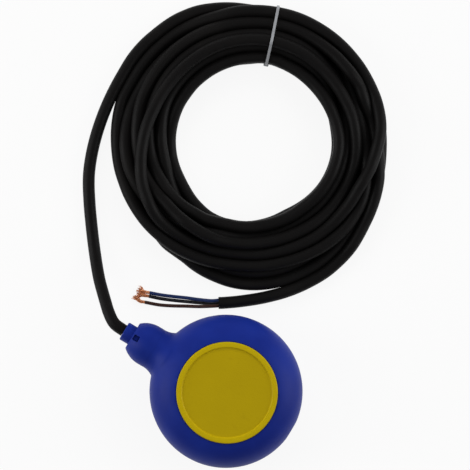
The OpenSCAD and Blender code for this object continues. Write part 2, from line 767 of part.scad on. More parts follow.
module tag(y) {
    difference() {
        union() {
            block(tag_x0, y - tag_half_y, mid_z - tag_half_z, tag_x1, y + tag_half_y, mid_z + tag_half_z);
            bar_x(barrel_x0, tag_x0 + tiny, y, mid_z, barrel_r);
        }
        block(tag_x0 + 0.5, y - tab_t / 2 - slide_gap, mid_z - tab_w / 2 - slide_gap,
              tag_x1 + 1, y + tab_t / 2 + slide_gap, mid_z + tab_w / 2 + slide_gap);
        block(tag_x0 + 0.5, y, mid_z - 1, tag_x1 + 1, y + big, mid_z + 1);
    }
}

module tag_brown() color("silver") tag(tab_y_common);

module tag_black() color("silver") tag(tab_y_closed);

module tag_blue() color("silver") tag(tab_y_open);

module inner_wire(angle, y) {
    start = [sheath_end_x, core_ring_r * cos(angle), mid_z + core_ring_r * sin(angle)];
    stop = [barrel_x0, y, mid_z];
    reach = (barrel_x0 - sheath_end_x - 2 * wire_stub) * 0.9;
    from = start + [wire_stub, 0, 0];
    to = stop - [wire_stub, 0, 0];
    bend = [for (t = [0 : 0.2 : 1]) bezier([from, from + [reach, 0, 0], to - [reach, 0, 0], to], t)];
    tube(concat([start], bend, [stop]), core_r, 8);
}

module inner_wire_brown() color("saddlebrown") inner_wire(210, tab_y_common);

module inner_wire_black() color("black") inner_wire(90, tab_y_closed);

module inner_wire_blue() color("steelblue") inner_wire(-30, tab_y_open);

module cable_lead() color("black") tube(lead_route, cable_r, 10);

module cable_tail() color("black") tube(tail_route, cable_r, 10);

// Section of the tie round the coil: a closed strap with round corners.
module tie_loop(clear) {
    translate([coil_x, coil_y, 0]) rotate(tie_angle) translate([0, tie_w / 2 + clear, 0]) rotate([90, 0, 0])
        linear_extrude(tie_w + 2 * clear) children();
}

// The inside of the tie's loop, which the bundle fills; the tie bites into the bundle's underside.
module tie_inside(clear) {
    rim = seat_gap - clear;
    rounded_rect(coil_hole_r - rim, tie_t + clear, coil_r + rim, coil_h + rim, coil_corner_r - tie_t);
}

module cable_coil() color("black") difference() {
    translate([coil_x, coil_y, 0]) rotate_extrude()
        rounded_rect(coil_hole_r, 0, coil_r, coil_h, coil_corner_r);
    tie_loop(seat_gap) difference() {
        translate([coil_hole_r - 1, -1]) square([coil_r - coil_hole_r + 2, 1 + coil_h / 2]);
        tie_inside(seat_gap / 2);
    }
}

module coil_tie() color("lightgray") tie_loop(0) difference() {
    rim = tie_t + seat_gap;
    rounded_rect(coil_hole_r - rim, 0, coil_r + rim, coil_h + rim, coil_corner_r);
    tie_inside(0);
}

module core_blue() color("steelblue") tube(blue_route, core_r, 8);

module core_black() color("black") tube(black_route, core_r, 8);

module core_brown() color("saddlebrown") tube(brown_route, core_r, 8);

module strands_blue() color("peru") tube(blue_strand_route, strand_r, 8);

module strands_black() color("peru") tube(black_strand_route, strand_r, 8);

module strands_brown() color("peru") tube(brown_strand_route, strand_r, 8);

shell_lower();
shell_upper();
cap_lower();
cap_upper();
gland_collar();
gland_seal();
cable_root();
switch_box();
box_lid();
box_gasket();
box_grommet();
lid_screws();
cord_grip();
grip_screws();
ball_track();
steel_ball();
switch_case();
switch_cover();
switch_screws();
switch_plunger();
switch_lever();
lever_pin();
contact_blade();
terminal_common();
terminal_closed();
terminal_open();
tag_brown();
tag_black();
tag_blue();
inner_wire_brown();
inner_wire_black();
inner_wire_blue();
cable_lead();
cable_coil();
coil_tie();
cable_tail();
core_blue();
core_black();
core_brown();
strands_blue();
strands_black();
strands_brown();
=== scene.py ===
# %% [markdown]
# # Cable float switch
# A float switch hangs in a tank on its own cable. When the water lifts it, a steel ball rolls inside
# and trips a small switch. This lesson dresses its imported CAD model: every step says what the piece
# is on the real object, how it could be made in Blender, and why this way was chosen.
# Lengths are in metres, or in millimetres where a cell says so, and they are in the frame of the CAD
# model, so nothing has to be fitted afterwards.

# %% Load the fixed frame
import json
import math
import bmesh
import bpy
import numpy as np
from mathutils import Matrix, Vector

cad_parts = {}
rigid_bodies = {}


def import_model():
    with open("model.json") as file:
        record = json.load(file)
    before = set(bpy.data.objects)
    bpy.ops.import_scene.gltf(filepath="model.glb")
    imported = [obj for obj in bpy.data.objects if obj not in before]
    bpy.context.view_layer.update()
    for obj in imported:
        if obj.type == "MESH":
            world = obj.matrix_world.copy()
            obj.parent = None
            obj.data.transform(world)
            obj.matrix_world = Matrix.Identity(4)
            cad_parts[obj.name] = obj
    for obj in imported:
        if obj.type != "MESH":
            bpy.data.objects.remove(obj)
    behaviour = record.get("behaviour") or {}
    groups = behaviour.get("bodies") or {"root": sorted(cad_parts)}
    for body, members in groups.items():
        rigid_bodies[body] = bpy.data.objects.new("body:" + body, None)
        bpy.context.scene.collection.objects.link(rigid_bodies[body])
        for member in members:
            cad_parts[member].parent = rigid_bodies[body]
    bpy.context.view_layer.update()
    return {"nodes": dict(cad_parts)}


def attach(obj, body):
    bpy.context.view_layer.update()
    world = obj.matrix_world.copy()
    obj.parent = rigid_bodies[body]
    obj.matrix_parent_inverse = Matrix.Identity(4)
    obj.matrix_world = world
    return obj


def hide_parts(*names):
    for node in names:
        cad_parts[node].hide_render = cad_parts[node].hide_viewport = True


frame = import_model()


def linked(name, data):
    """A new object that is part of the scene."""
    thing = bpy.data.objects.new(name, data)
    bpy.context.scene.collection.objects.link(thing)
    return thing


# %% [markdown]
# ## The camera
# The photograph looks straight down on the float, with its neck towards the upper left. A long lens
# from 2.4 m keeps the parallel look of a product picture. The camera's three axes are written as the
# columns of a matrix, which is easier to read than angles when the picture is turned on the table. A lean
# of less than two degrees about the middle of the view shows the taller pieces a little from their side.

# %% Camera
MM = 0.001
VIEW_RIGHT = Vector((0.8597, 0.5114, 0.0))
VIEW_UP = Vector((-0.5114, 0.8597, 0.0))
VIEW_MIDDLE = Vector((-0.0471, 0.0907, 0.0))
CAMERA_HEIGHT = 2.4
FLOAT_MIDDLE_Z = 0.024
FRAME_WIDTH = 0.307
CAMERA_LEAN_DEG = 1.8

lens = bpy.data.cameras.new("camera")
lens.sensor_width = 36.0
lens.lens = 36.0 * CAMERA_HEIGHT / FRAME_WIDTH
lens.clip_end = 20.0
camera = linked("camera", lens)
turn = Matrix((VIEW_RIGHT, VIEW_UP, Vector((0, 0, 1)))).transposed().to_4x4()
lean = Matrix.Rotation(math.radians(-CAMERA_LEAN_DEG), 4, "Y")
rise = Matrix.Translation((0, 0, CAMERA_HEIGHT))
aim = Matrix.Translation(VIEW_MIDDLE + Vector((0, 0, FLOAT_MIDDLE_Z)))
camera.matrix_world = aim @ turn @ (lean @ rise)
bpy.context.scene.camera = camera
bpy.context.scene.view_settings.view_transform = "Standard"
print("lens", round(lens.lens, 1), "mm")

# %% [markdown]
# ## Node maths without clicking
# A material is a graph of nodes, and so is a Geometry Nodes tree. Writing each Math node by hand makes
# long code, so a small class wraps an output socket and overloads the operators: `1 - mask` then adds a
# Math node by itself. Any other node comes from one method that sets the node's own settings first and
# its sockets after that.

# %% Sockets as numbers
class Sock:
    """An output socket that takes part in arithmetic."""

    def __init__(self, graph, socket):
        self.graph, self.socket = graph, socket

    def math(self, operation, *inputs):
        """A Math node on the given inputs, or on this socket alone."""
        values = dict(enumerate(inputs or (self,)))
        return self.graph.node("ShaderNodeMath", values, operation=operation)

    def vector(self, operation, other=None, scale=None):
        values = {0: self, 1: other, "Scale": scale}
        return self.graph.node("ShaderNodeVectorMath", values, operation=operation)

    def __add__(self, other):
        return self.math("ADD", self, other)

    def __radd__(self, other):
        return self.math("ADD", other, self)

    def __rsub__(self, other):
        return self.math("SUBTRACT", other, self)

    def __mul__(self, other):
        return self.math("MULTIPLY", self, other)

    def __truediv__(self, other):
        return self.math("DIVIDE", self, other)

    def __pow__(self, other):
        return self.math("POWER", self, other)

    def step(self, low, high):
        """A soft step: 0 below low, 1 above high."""
        values = {"Value": self, "From Min": low, "From Max": high}
        return self.graph.node("ShaderNodeMapRange", values, interpolation_type="SMOOTHSTEP")

    def other(self, key):
        """Another output of the same node."""
        return Sock(self.graph, self.socket.node.outputs[key])


class Graph:
    """A node tree and the tools to feed it."""

    def __init__(self, tree):
        self.tree = tree

    def feed(self, node, values):
        for key, value in values.items():
            if isinstance(value, Sock):
                self.tree.links.new(value.socket, node.inputs[key])
            elif value is not None:
                node.inputs[key].default_value = value

    def node(self, kind, values=None, out=0, **settings):
        node = self.tree.nodes.new(kind)
        for key, value in settings.items():
            setattr(node, key, value)
        self.feed(node, values or {})
        return Sock(self, node.outputs[out])


def tone(red, green, blue):
    """A colour as a paint program shows it (0 to 255), made linear for the shader."""
    shares = (red / 255, green / 255, blue / 255)
    return (*(c / 12.92 if c < 0.0404 else ((c + 0.055) / 1.055) ** 2.4 for c in shares), 1.0)


class Finish(Graph):
    """A material with one Principled shader."""

    def __init__(self, name, **constants):
        self.material = bpy.data.materials.new(name)
        self.material.use_nodes = True
        super().__init__(self.material.node_tree)
        self.tree.nodes.clear()
        self.shader = self.tree.nodes.new("ShaderNodeBsdfPrincipled")
        output = self.tree.nodes.new("ShaderNodeOutputMaterial")
        self.tree.links.new(self.shader.outputs["BSDF"], output.inputs["Surface"])
        self.use(**constants)

    def spot(self, scale=(1, 1, 1), source="Object"):
        coordinates = self.node("ShaderNodeTexCoord", out=source)
        return self.node("ShaderNodeMapping", {"Vector": coordinates, "Scale": scale})

    def noise(self, size, vector=None, detail=3.0, roughness=0.5):
        """Cloudy noise from 0 to 1 whose blobs are about size metres across."""
        values = {"Vector": vector or self.spot(), "Scale": 1 / size}
        values.update({"Detail": detail, "Roughness": roughness})
        return self.node("ShaderNodeTexNoise", values)

    def mix(self, factor, first, second):
        """A colour between two colours."""
        values = {"Factor": factor, 6: first, 7: second}
        return self.node("ShaderNodeMix", values, 2, data_type="RGBA")

    def bump(self, height, distance, strength=1.0, under=None):
        values = {"Height": height, "Distance": distance, "Strength": strength, "Normal": under}
        return self.node("ShaderNodeBump", values)

    def use(self, **links):
        self.feed(self.shader, {key.replace("_", " "): value for key, value in links.items()})
        return self.material


# %% [markdown]
# ## Floor and light
# The float lies on white paper between two soft boxes, one on the left and one on the right: their
# reflections are the two lighter zones of the blue ring. A third, wide lamp beyond the coil gives the
# rest of the light, so that the near side of the ring is the darkest. The paper is white for the camera
# by the Light Path node, never by more light on the object, and it keeps part of its own shading so
# that a soft shadow stays. The room is dim for reflections, because the black cable shows hardly any.

# %% Paper, room and lamps
PAPER_GLOW = 0.9
PAPER_HALF, PAPER_Z = 6.0, -0.0002
paper = Finish("paper_white", Base_Color=(0.9, 0.9, 0.9, 1), Roughness=0.95)
camera_ray = paper.node("ShaderNodeLightPath", out="Is Camera Ray")
seen = camera_ray + camera_ray.other("Is Glossy Ray") + camera_ray.other("Is Transmission Ray")
glow = paper.node("ShaderNodeEmission", {"Color": (1, 1, 1, 1), "Strength": 1.0})
plain = Sock(paper, paper.shader.outputs[0])
blend = paper.node("ShaderNodeMixShader", {0: seen * PAPER_GLOW, 1: plain, 2: glow})
paper.tree.links.new(blend.socket, paper.tree.nodes["Material Output"].inputs["Surface"])

floor_mesh = bpy.data.meshes.new("floor")
corners = [(x * PAPER_HALF, y * PAPER_HALF, PAPER_Z) for x, y in ((-1, -1), (1, -1), (1, 1), (-1, 1))]
floor_mesh.from_pydata(corners, [], [(0, 1, 2, 3)])
floor_mesh.materials.append(paper.material)
floor = linked("floor", floor_mesh)

room = bpy.data.worlds.new("room")
bpy.context.scene.world = room
room.use_nodes = True
room.node_tree.nodes.clear()
sky = Graph(room.node_tree)
ray = sky.node("ShaderNodeLightPath")
mixed = None
# How bright the room is for the light itself, for reflections and for the camera.
for strength, kind in ((0.22, None), (0.16, "Is Glossy Ray"), (1.0, "Is Camera Ray")):
    backdrop = sky.node("ShaderNodeBackground", {"Strength": strength, "Color": (1, 1, 1, 1)})
    if kind:
        backdrop = sky.node("ShaderNodeMixShader", {0: ray.other(kind), 1: mixed, 2: backdrop})
    mixed = backdrop
sky.feed(sky.tree.nodes.new("ShaderNodeOutputWorld"), {"Surface": mixed})


def soft_box(name, side, along, height, width, depth, watts, gloss=True):
    """A rectangular lamp beside the table, turned towards the middle of the picture."""
    lamp = bpy.data.lights.new(name, "AREA")
    lamp.shape, lamp.size, lamp.size_y, lamp.energy = "RECTANGLE", width, depth, watts
    place = VIEW_MIDDLE + VIEW_RIGHT * side + VIEW_UP * along + Vector((0, 0, height))
    holder = linked(name, lamp)
    holder.visible_glossy = gloss
    facing = (place - VIEW_MIDDLE).to_track_quat("Z", "Y").to_matrix().to_4x4()
    holder.matrix_world = Matrix.Translation(place) @ facing


soft_box("soft_box_left", -1.3, 0.0, 0.62, 0.8, 1.2, 9.5)
soft_box("soft_box_right", 1.3, 0.0, 0.62, 0.8, 1.2, 9.5)
soft_box("soft_box_far", 0.0, 1.5, 0.95, 1.8, 0.9, 16, gloss=False)

# %% [markdown]
# ## The cable as one length of something stiff
# The cable is about five metres of round 8 mm cable. It leaves the neck, drops to the table, runs up
# beside the coil and is wound into it, and its other end comes out again and is stripped. A drawn spiral
# looks like a drawing, so the route is planned turn by turn and then settled: a row of beads keeps its
# spacing, resists bending, pushes off its neighbours and sinks onto the table, as the real coil did.

# %% Route of the cable before it settles (millimetres)
CABLE_D = 8.0
COIL = np.array((-68.3, 145.1))
TIE_DEG = 109.0
JOIN_DEG = 189.5
LEAD = [(-77.4, 0, 24), (-83, 0, 24), (-89.6, 3.2, 22.6), (-96, 8.6, 19.4), (-102.6, 14.7, 15),
        (-109, 21, 11), (-115.4, 28.4, 7.4), (-122.4, 37, 5), (-130.6, 47.7, 4), (-140.4, 61.3, 4),
        (-149.4, 75.8, 4), (-156, 92, 4), (-160.5, 109, 4), (-163.2, 127, 4), (-164, 146, 4),
        (-162.6, 165, 4)]
TAIL = [(23.4, 128, 7), (22, 116, 5), (16.5, 99, 4), (5, 80.5, 4), (-9, 65.5, 4), (-24.5, 52.8, 4),
        (-33, 47, 4)]
# How far the strap pulls the inner edge outwards, and how wide that dent is.
TIE_PINCH, PINCH_DEG = 2.2, 12.0
# How near the innermost and outermost strand lie to the coil's middle, every 30 degrees round it.
EDGE_DEG = np.arange(0, 360, 30)
EDGE_IN = (55.4, 59.2, 59.0, 59.2, 58.0, 55.2, 54.2, 51.8, 50.2, 53.0, 52.5, 51.0)
EDGE_OUT = (87.5, 86.5, 89.0, 91.0, 89.3, 90.2, 89.6, 86.3, 83.8, 82.2, 92.5, 91.2)
# One row for each turn: its place across the bundle (0 inside, 1 outside) and the height at which it is
# laid down, first on the upper and left side of the picture and then on the lower and right side.
TURNS = [(1.15, 4, 1.2, 4), (0.88, 4, 0.85, 4), (0.55, 4, 0.5, 4), (0.2, 4, 0.16, 4), (0.25, 11, 0.0, 11),
         (0.0, 12, 0.25, 18), (0.48, 12, 0.42, 11), (0.78, 12, 0.98, 11), (1.1, 12, 0.82, 18),
         (0.3, 18, 0.54, 18), (0.68, 18, 0.9, 12)]
# A turn changes its place after so many degrees, on the right and on the left, over so many degrees.
CROSS_RIGHT, CROSS_LEFT, CROSS_RUN = 128.0, 286.0, 72.0
# Where the coil begins and ends, in degrees after the join. The next rows give the degrees and the
# distance from the coil's middle on its first and its last stretch, and the last stretch's height.
FIRST_STEP, LAST_STEP = 38.0, 194.0
LEAD_IN = ((30, 40, 47, 54, 62, 70, 85), (96.6, 96.6, 95.8, 94.0, 92.0, 90.2, 88.6))
TAIL_OUT = ((144.5, 159.5, 174.5, 189.5, 198), (84.5, 85.6, 87.8, 90.6, 92.4))
TAIL_HIGH = (12, 12, 10, 8, 7)
FULL_TURNS, STEP_DEG = 10, 3.0
COIL_IN, COIL_WIDE = 56.5, 28.5
# The whole coil is a little off its middle, and the upper turns slid the other way than the lower ones.
LEAN_MM, LEAN_DEG = 3.0, 65.0
SLID_MM, SLID_DEG = 5.0, 152.0


def ease(x):
    x = np.clip(x, 0, 1)
    return x * x * (3 - 2 * x)


def cosine(degrees):
    return math.cos(math.radians(degrees))


def sizes(arrows):
    return np.linalg.norm(arrows, axis=1, keepdims=True)


def run_along(points):
    """How far along its line each point lies."""
    return np.concatenate(([0], np.cumsum(np.linalg.norm(np.diff(points, axis=0), axis=1))))


def smooth_curve(points, spacing):
    """A smooth curve through the points, cut to equal steps."""
    p = np.array(points, float)
    p = np.vstack((2 * p[0] - p[1], p, 2 * p[-1] - p[-2]))
    t = np.linspace(0, 1, 24, endpoint=False)[:, None]
    parts = [0.5 * (2 * b + (c - a) * t + (2 * a - 5 * b + 4 * c - d) * t ** 2
                    + (3 * b - a - 3 * c + d) * t ** 3)
             for a, b, c, d in zip(p, p[1:], p[2:], p[3:])]
    return even(np.vstack((*parts, p[-2:-1])), spacing)


def even(points, spacing):
    run = run_along(points)
    at = np.linspace(0, run[-1], max(2, int(round(run[-1] / spacing)) + 1))
    return np.column_stack([np.interp(at, run, points[:, k]) for k in range(3)])


def length_of(points):
    return float(np.linalg.norm(np.diff(points, axis=0), axis=1).sum())


def edge(values, degrees):
    return np.interp(degrees, EDGE_DEG, values, period=360)


def hole_edge(degrees):
    """The inner edge, which the strap pulls outwards where it holds the bundle."""
    away = (np.asarray(degrees) % 360 - TIE_DEG) / PINCH_DEG
    return edge(EDGE_IN, degrees) + TIE_PINCH * np.exp(-away ** 2)


def planned_coil():
    """The ten and a half turns, clockwise as seen from above, from the lead to the free end."""
    rng = np.random.default_rng(7)
    slack = [(rng.normal(0, 1.0), rng.uniform(0, 360), rng.normal(0, 0.5), rng.uniform(0, 360))
             for _ in TURNS]
    points = []
    for step in np.arange(FIRST_STEP, 360 * FULL_TURNS + LAST_STEP, STEP_DEG):
        degrees = JOIN_DEG - step
        k = int(step // 360)
        within = step - 360 * k
        turn, after = TURNS[k], TURNS[min(k + 1, len(TURNS) - 1)]
        lower = ease((within - CROSS_RIGHT) / CROSS_RUN)
        upper = ease((within - CROSS_LEFT) / CROSS_RUN)
        across, height = (turn[j] * (1 - lower) + turn[j + 2] * (lower - upper) + after[j] * upper
                          for j in (0, 1))
        low, high = hole_edge(degrees), edge(EDGE_OUT, degrees)
        radius = COIL_IN + across * COIL_WIDE + LEAN_MM * cosine(degrees - LEAN_DEG)
        wave = [a * cosine(degrees - b) + c * cosine(2 * (degrees - d))
                for a, b, c, d in (slack[k], slack[min(k + 1, len(TURNS) - 1)])]
        radius += wave[0] * (1 - upper) + wave[1] * upper
        layer = np.clip((height - 7.5) / 3.5, -1, 1)
        radius += SLID_MM * cosine(degrees - SLID_DEG) * layer
        radius = np.clip(radius, low, high)
        if k == 0:
            radius += (float(np.interp(within, *LEAD_IN)) - radius) * (1 - ease((within - 60) / 40))
        if k == FULL_TURNS:
            out = ease((within - 120) / 26)
            radius = radius * (1 - out) + float(np.interp(within, *TAIL_OUT)) * out
            height = height * (1 - out) + float(np.interp(within, TAIL_OUT[0], TAIL_HIGH)) * out
        angle = math.radians(degrees)
        points.append((*(COIL + radius * np.array((math.cos(angle), math.sin(angle)))), height))
    return points


BEAD = 4.0
laid = smooth_curve(LEAD + planned_coil() + TAIL, BEAD)
free_from = len(smooth_curve(LEAD[:-2], BEAD))
free_to = len(laid) - len(smooth_curve(TAIL, BEAD))
print("beads:", len(laid), "planned length", round((len(laid) - 1) * BEAD / 1000, 3), "m")


# %% Settle the beads
# Per round: sinking, the pull to the plan (at first and at the end), stiffness over short and long
# stretches, the share of an overlap that is pushed apart and the most that a bead is pushed.
SINK, HOME, HOME_LAST, STIFF, STIFF_WIDE, PART, PART_MOST = 0.12, 0.03, 0.004, 0.055, 0.03, 0.42, 1.5
LISTED_EVERY, LISTED_WITHIN, SOFT_BEADS = 15, 12.0, 12.0
HELD, HELD_SLACK, TIED_DEG, TIED_TOP = 0.6, 0.3, 4, 19.5


def about_coil(beads):
    """For each bead its arrow from the coil's middle, the arrow's length and its angle in degrees."""
    arrow = beads[:, :2] - COIL
    return arrow, sizes(arrow), np.degrees(np.arctan2(arrow[:, 1], arrow[:, 0]))


def settle(beads, first, last, rounds):
    """Beads between first and last move; the lead and the free end stay on their routes."""
    beads, plan = beads.copy(), beads.copy()
    count = len(beads)
    loose = np.zeros(count)
    loose[first:last] = 1
    soft = ease(np.minimum(np.arange(count) - first, last - np.arange(count)) / SOFT_BEADS)
    gap = np.full(count - 1, np.linalg.norm(np.diff(beads, axis=0), axis=1).mean())
    _, planned, angle = about_coil(plan)
    tied = np.abs(angle - TIE_DEG) < TIED_DEG
    far, near = np.triu_indices(count, 5)
    for turn in range(rounds):
        if turn % LISTED_EVERY == 0:
            close = np.zeros(len(far), bool)
            for part in np.array_split(np.arange(len(far)), 12):
                away = beads[far[part]] - beads[near[part]]
                close[part] = (away ** 2).sum(1) < LISTED_WITHIN ** 2
            one, two = far[close], near[close]
        calm = 1 - turn / rounds
        beads[:, 2] -= SINK * loose
        beads[:, :2] += (plan - beads)[:, :2] * (HOME * calm + HOME_LAST) * loose[:, None]
        for step, stiff in ((1, STIFF), (5, STIFF_WIDE)):
            bend = np.zeros_like(beads)
            a, b, c, d, e = (beads[k * step:count - (4 - k) * step] for k in range(5))
            bend[2 * step:-2 * step] = a - 4 * b + 6 * c - 4 * d + e
            beads -= stiff * bend * loose[:, None]
        for odd in (0, 1):
            left = np.arange(odd, count - 1, 2)
            link = beads[left + 1] - beads[left]
            move = link * (1 - gap[left, None] / sizes(link)) * 0.5
            beads[left] += move * loose[left, None]
            beads[left + 1] -= move * loose[left + 1, None]
        away = beads[one] - beads[two]
        size = np.linalg.norm(away, axis=1)
        hit = size < CABLE_D
        push = away[hit] * ((CABLE_D - size[hit]) / size[hit] * PART)[:, None]
        shove = np.zeros_like(beads)
        np.add.at(shove, one[hit], push)
        np.add.at(shove, two[hit], -push)
        shove *= np.minimum(1, PART_MOST / np.maximum(sizes(shove), 1e-9))
        beads += shove * loose[:, None]
        arrow, reach, angle = about_coil(beads)
        low, high = hole_edge(angle)[:, None], edge(EDGE_OUT, angle)[:, None]
        held = np.clip(reach, np.minimum(low, planned), np.maximum(high, planned + HELD_SLACK))
        beads[:, :2] += arrow * (held / reach - 1) * HELD
        beads[tied, 2] = np.minimum(beads[tied, 2], TIED_TOP)
        beads[:, 2] = np.maximum(beads[:, 2], CABLE_D / 2)
        beads = plan + (beads - plan) * (soft * loose)[:, None]
    return beads


def deepest(beads):
    """How far two strands that lie on each other run into each other, at worst."""
    one, two = np.triu_indices(len(beads), 6)
    away = np.linalg.norm(beads[one] - beads[two], axis=1)
    return CABLE_D - away.min(), (away < CABLE_D - 0.6).sum()


settled = settle(laid, free_from, free_to, 700)
route = smooth_curve(np.vstack((settled[:-1:2], settled[-1:])), 2.5) * MM
route[:, 2] = np.maximum(route[:, 2], CABLE_D / 2 * MM)
cable_length = length_of(route)
print("cable:", round(cable_length, 3), "m, top of the coil", round(settled[:, 2].max() + CABLE_D / 2, 1),
      "mm, overlap", [round(float(v), 2) for v in deepest(settled)])

# %% [markdown]
# ## A swept tube with its own UV map
# A curve object could draw the cable, but the marks that extrusion leaves run along it, and so need a
# UV map that follows it. So the tube is swept here: a small frame is carried along the route without
# twisting, and each ring of points is laid out in it. U goes round the tube and V along it, in metres.

# %% Sweep
WALL_IN, WALL_DEEP = 0.80, 0.78


def carried_frames(points):
    """Two directions across the route at each point, carried along without twist."""
    ahead = np.gradient(points, axis=0)
    ahead /= sizes(ahead)
    side = np.cross(ahead[0], (0, 0, 1) if abs(ahead[0][2]) < 0.9 else (1, 0, 0))
    sides = []
    for direction in ahead:
        side = side - direction * side.dot(direction)
        side = side / np.linalg.norm(side)
        sides.append(side)
    sides = np.array(sides)
    return ahead, sides, np.cross(ahead, sides)


def make_piece(name, vertices, faces, finish=None, smooth_degrees=40.0, uv=None):
    """A mesh object at the origin, smooth except where its faces meet at a sharp angle."""
    mesh = bpy.data.meshes.new(name)
    mesh.from_pydata([tuple(map(float, v)) for v in vertices], [], faces)
    if uv is not None:
        layer = mesh.uv_layers.new(name="UVMap")
        layer.data.foreach_set("uv", np.array(uv, float).ravel())
    mesh.validate()
    if smooth_degrees:
        mesh.shade_smooth()
        mesh.set_sharp_from_angle(angle=math.radians(smooth_degrees))
    if finish:
        mesh.materials.append(finish)
    return linked(name, mesh)


def ring_faces(rings, sides, closed=False, turned_over=False):
    """Four-sided faces between rings of points that follow each other."""
    faces = []
    for i in range(rings if closed else rings - 1):
        for j in range(sides):
            k, after = (j + 1) % sides, (i + 1) % rings
            face = (i * sides + j, i * sides + k, after * sides + k, after * sides + j)
            faces.append((face[0], face[3], face[2], face[1]) if turned_over else face)
    return faces


def swept_tube(name, points, radius, sides, finish=None, hollow=0.0):
    """A closed tube along points; a hollow end shows the wall of the sheath for that depth."""
    points = np.array(points, float)
    ahead, across, up = carried_frames(points)
    turn = np.linspace(0, 2 * math.pi, sides, endpoint=False)
    ring = np.cos(turn)[None, :, None] * across[:, None] + np.sin(turn)[None, :, None] * up[:, None]
    rings = [points[i] + ring[i] * radius for i in range(len(points))]
    run = run_along(points).tolist()
    if hollow:
        rings.append(points[-1] + ring[-1] * radius * WALL_IN)
        rings.append(points[-1] - ahead[-1] * hollow + ring[-1] * radius * WALL_DEEP)
        run += [run[-1] + radius * 0.2, run[-1] + radius * 0.2 + hollow]
    count = len(rings)
    vertices = np.vstack(rings)
    faces, uv = ring_faces(count, sides), []
    for i in range(count - 1):
        for j in range(sides):
            left, right = j / sides, (j + 1) / sides
            uv += [(left, run[i]), (right, run[i]), (right, run[i + 1]), (left, run[i + 1])]
    for first, last in ((0, True), ((count - 1) * sides, False)):
        cap = [first + j for j in range(sides)]
        faces.append(tuple(reversed(cap)) if last else tuple(cap))
        uv += [(0.5, run[0] if last else run[-1])] * sides
    return make_piece(name, vertices, faces, finish, 50.0, uv)


# %% [markdown]
# ## Black sheath
# The sheath is soft black rubber: nearly black, a little brown in the light, with a satin gloss. Extrusion
# leaves very fine lines along it and a slow waviness, and handling leaves dull patches. The lines use the
# UV map, the dull patches use Object coordinates, so that strands that lie together differ.

# %% Sheath finish
def sheath_finish(name, dark, pale):
    finish = Finish(name, Specular_IOR_Level=0.12, IOR=1.5)
    along = finish.spot((90, 140, 1), "UV")
    lines = finish.node("ShaderNodeTexNoise", {"Vector": along, "Scale": 1.0, "Detail": 2.0})
    patches = finish.noise(0.05, detail=4.0)
    dust = finish.noise(0.004, detail=5.0, roughness=0.7)
    worn = patches.step(0.45, 0.75)
    colour = finish.mix(worn * 0.5 + dust.step(0.62, 0.8) * 0.25, dark, pale)
    waves = finish.noise(0.012, detail=1.0)
    relief = finish.bump(waves, 0.0010, 0.25, finish.bump(lines, 0.00008, 0.5))
    return finish.use(Base_Color=colour, Roughness=0.42 + worn * 0.12 + dust * 0.10, Normal=relief)


black_sheath = sheath_finish("black_sheath", tone(18, 17, 17), tone(27, 25, 24))
cable = swept_tube("cable", route, CABLE_D / 2 * MM, 20, black_sheath, hollow=0.0012)
print("cable triangles:", sum(len(f.vertices) - 2 for f in cable.data.polygons))

# %% [markdown]
# ## Three stripped cores
# At the free end the sheath is cut square and three insulated cores come out: blue, black and brown.
# They part a little, sag onto the table and end in bare, slightly spread copper. Each core is a free
# cord of its own, so each gets a route of its own that starts in the end of the sheath.

# %% Core routes (millimetres)
CORE_D = 2.3
CORES = {
    "blue": [(-34, 48.5, 5), (-38.1, 45.7, 5), (-45.5, 42.2, 3.4), (-53, 39, 1.8), (-60.8, 35.4, 1.2),
             (-68.2, 32.2, 1.2), (-75.4, 29.6, 1.2)],
    "black": [(-33, 47, 2.2), (-37.1, 44.2, 2.2), (-44, 40.6, 1.6), (-51.7, 36.9, 1.2), (-59.6, 33.2, 1.2),
              (-67.1, 30, 1.2), (-74.7, 27.4, 1.2)],
    "brown": [(-32, 45.5, 5), (-36.1, 42.7, 5), (-43, 38.3, 3.2), (-50.4, 34.2, 1.6), (-58, 29.9, 1.2),
              (-66, 25.9, 1.2), (-75, 22.6, 1.2)],
}
BARE_ENDS = {
    "blue": [(-79, 28.3, 1.4), (-82.6, 27.9, 1.5)],
    "black": [(-78, 26.1, 1.4), (-81.4, 24.6, 1.4)],
    "brown": [(-78.4, 21.6, 1.4), (-82.4, 22.8, 1.5)],
}


def core_finish(name, dark, pale, rough):
    finish = Finish(name, IOR=1.5)
    lines = finish.node("ShaderNodeTexNoise", {"Vector": finish.spot((12, 90, 1), "UV"), "Scale": 1.0})
    marks = finish.noise(0.0022, detail=4.0)
    colour = finish.mix(marks.step(0.4, 0.8), dark, pale)
    relief = finish.bump(lines, 0.00005, 0.6)
    return finish.use(Base_Color=colour, Roughness=rough + marks * 0.15, Normal=relief)


insulation = {
    "blue": core_finish("blue_insulation", tone(20, 38, 84), tone(30, 52, 100), 0.34),
    "black": core_finish("black_insulation", tone(20, 20, 22), tone(38, 38, 40), 0.3),
    "brown": core_finish("brown_insulation", tone(52, 28, 20), tone(74, 42, 30), 0.3),
}
cores = {}
for colour, points in CORES.items():
    path = smooth_curve(points, 0.6) * MM
    core = swept_tube("core_wire_" + colour, path, CORE_D / 2 * MM, 14, insulation[colour], 0.0006)
    cores[colour] = (core, path)
    print(colour, "core:", round(length_of(path) * 1000, 1), "mm")

# %% [markdown]
# ## Bare copper
# A core holds some thirty fine copper wires, twisted together and a little frayed where they were cut.
# Wires that follow a path are work for Geometry Nodes: one tree lays a wire round the path, turns it into
# a helix that opens towards the end, repeats it and sweeps a small round profile along each wire. No wire
# may dip below the table, so the last step before the sweep lifts what would.

